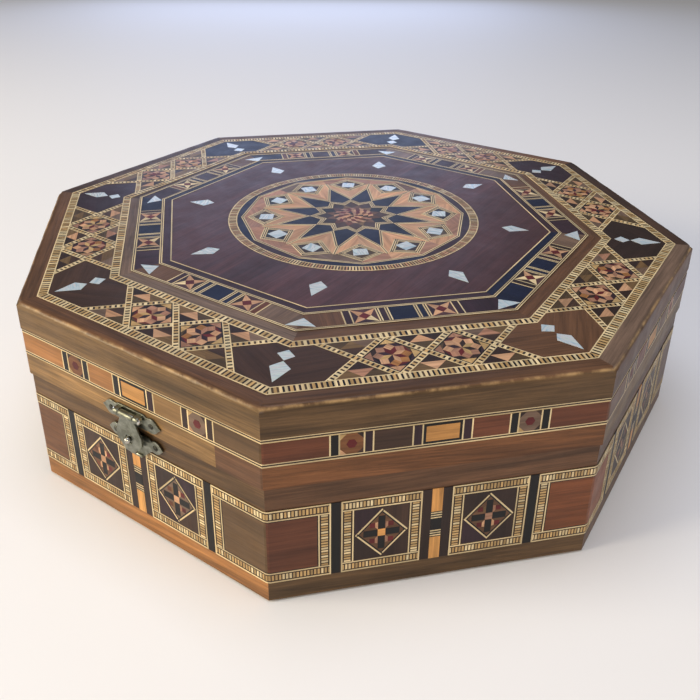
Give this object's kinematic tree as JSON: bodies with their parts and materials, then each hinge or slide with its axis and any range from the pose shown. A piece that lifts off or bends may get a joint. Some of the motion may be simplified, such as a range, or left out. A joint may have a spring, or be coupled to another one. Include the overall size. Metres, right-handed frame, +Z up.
{
  "type": "octagonal inlaid wooden box",
  "caption": "Low octagonal wooden keepsake box with a hinged lid, marquetry and shell inlay on the top and sides, velvet lining and a small metal hasp latch.",
  "frame": {"origin": "centre of the octagon, on the surface that the box stands on", "axes": "+Z up, -Y towards the latch, +Y towards the hinges"},
  "size_m": [0.277, 0.2865, 0.08],
  "materials": {
    "core_wood": "matt, unvarnished",
    "walnut": "satin varnish, worn",
    "marquetry": "satin varnish",
    "rosewood": "satin varnish",
    "pearl": "polished shell",
    "velvet": "velvet",
    "felt": "felt",
    "brass": "satin, tarnished",
    "old_bronze": "antique bronze",
    "steel": "bright"
  },
  "bodies": {
    "base": {"base_felt": "felt", "base_floor": "core_wood", "base_board_1": "core_wood", "base_board_2": "core_wood", "base_board_3": "core_wood", "base_board_4": "core_wood", "base_board_5": "core_wood", "base_board_6": "core_wood", "base_board_7": "core_wood", "base_board_8": "core_wood", "base_lower_band": "walnut", "base_inlay_row": "marquetry", "base_upper_band": "walnut", "base_lining_floor": "velvet", "base_lining_walls": "velvet", "hinge_1_base_leaf": "brass", "hinge_2_base_leaf": "brass", "hinge_1_pin": "brass", "hinge_2_pin": "brass", "hinge_screws_base": "brass", "latch_base_plate": "old_bronze", "latch_catch": "steel", "latch_nails_base": "old_bronze"},
    "lid": {"lid_board_1": "core_wood", "lid_board_2": "core_wood", "lid_board_3": "core_wood", "lid_board_4": "core_wood", "lid_board_5": "core_wood", "lid_board_6": "core_wood", "lid_board_7": "core_wood", "lid_board_8": "core_wood", "lid_panel": "core_wood", "lid_lower_band": "walnut", "lid_inlay_band": "marquetry", "lid_upper_band": "walnut", "lid_edge_strips": "walnut", "lid_lining_panel": "velvet", "lid_lining_walls": "velvet", "top_outer_checker": "marquetry", "top_mosaic_band": "marquetry", "top_inner_checker": "marquetry", "top_walnut_band": "walnut", "top_segment_band": "marquetry", "top_dark_band": "rosewood", "top_field": "rosewood", "medallion_ring": "marquetry", "medallion_rosette": "marquetry", "field_pearls": "pearl", "rosette_pearls": "pearl", "corner_pearls": "pearl", "hinge_1_lid_leaf": "brass", "hinge_2_lid_leaf": "brass", "hinge_screws_lid": "brass", "latch_lid_plate": "old_bronze", "latch_pin": "steel", "latch_nails_lid": "old_bronze"},
    "hasp": {"latch_hasp": "old_bronze"}
  },
  "joints": [
    {"name": "lid_hinge", "type": "hinge", "parent": "base", "child": "lid", "pos_m": [0, 0.1408, 0.04895], "axis": [-1, 0, 0], "range_deg": [0, 100]},
    {"name": "hasp_hinge", "type": "hinge", "parent": "lid", "child": "hasp", "pos_m": [0, -0.1407, 0.0548], "axis": [-1, 0, 0], "range_deg": [0, 175]}
  ]
}
